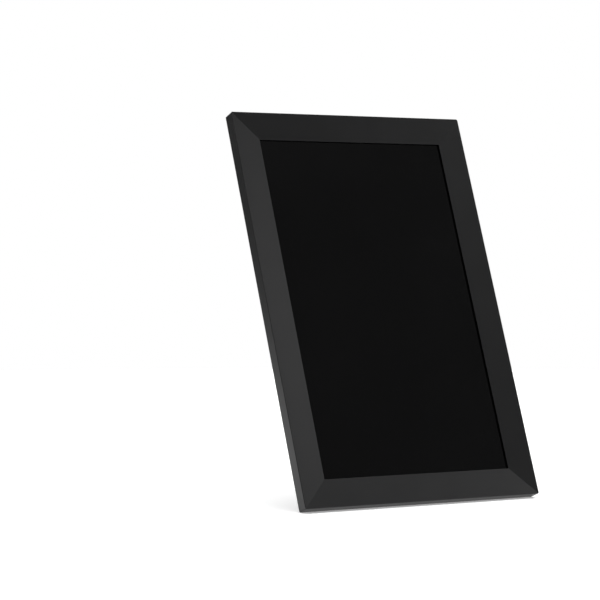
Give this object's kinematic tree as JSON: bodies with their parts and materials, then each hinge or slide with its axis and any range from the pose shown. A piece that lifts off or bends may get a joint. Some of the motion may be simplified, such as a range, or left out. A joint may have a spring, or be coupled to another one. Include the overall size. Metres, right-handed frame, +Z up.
{
  "type": "smart display",
  "caption": "Portrait smart display with a mitred black bezel, tapered back cover, textured back insert with speaker holes, keyhole hanger and a swivelling bent stand leg.",
  "frame": {"origin": "centre of the object's box on the surface it stands on", "axes": "+Z up, screen faces -Y and leans back towards +Y, +X to the right seen from the front"},
  "size_m": [0.168, 0.0982, 0.2391],
  "materials": {
    "frame_black": "satin moulded plastic, fine grain",
    "cover_black": "satin moulded plastic, fine grain",
    "insert_black": "satin plastic with a staggered dimple texture",
    "leg_black": "satin powder coat",
    "button_black": "satin",
    "port_black": "matte",
    "screen_glass": "polished, dark with the screen off",
    "lcd": "gloss",
    "tape": "foam tape",
    "diffuser": "matte white",
    "tray_metal": "zinc plated sheet",
    "tin": "tin plate",
    "plate_steel": "plated steel",
    "screw_steel": "zinc plated",
    "circuit_board": "solder mask",
    "flex_amber": "polyimide film",
    "flex_dark": "film",
    "cone_paper": "pulp",
    "foam": "foam",
    "mesh_cloth": "woven mesh",
    "bush_plastic": "acetal",
    "spring_bronze": "plain",
    "foot_rubber": "matte"
  },
  "bodies": {
    "housing": {"front_frame": "frame_black", "glass_tape": "tape", "cover_glass": "screen_glass", "lcd_cell": "lcd", "light_guide": "diffuser", "panel_tray": "tray_metal", "panel_screws": "screw_steel", "chassis": "tray_metal", "chassis_screws": "screw_steel", "main_board": "circuit_board", "shield_can": "tin", "board_screws": "screw_steel", "display_cable": "flex_amber", "wifi_antenna": "flex_dark", "power_inlet": "port_black", "usb_socket": "tin", "power_switch": "port_black", "speaker_left": "port_black", "speaker_right": "port_black", "cone_left": "cone_paper", "cone_right": "cone_paper", "speaker_gaskets": "foam", "speaker_mesh": "mesh_cloth", "rear_cover": "cover_black", "cover_screws": "screw_steel", "keyhole_plate": "plate_steel", "back_insert": "insert_black", "pivot_bush": "bush_plastic", "friction_washer": "spring_bronze"},
    "leg": {"stand_leg": "leg_black", "retaining_plate": "plate_steel", "pivot_screw": "screw_steel", "foot_pad": "foot_rubber"},
    "button": {"power_button": "button_black"}
  },
  "joints": [
    {"name": "leg_swivel", "type": "hinge", "parent": "housing", "child": "leg", "pos_m": [0, 0.002, 0.07592], "axis": [0, -0.9336, 0.3584], "range_deg": [0, 90]},
    {"name": "button_press", "type": "slide", "parent": "housing", "child": "button", "axis": [0, -0.3584, -0.9336], "range_m": [0, 0.0004], "stiffness_N_per_m": 1500, "springref_m": -0.0003}
  ]
}
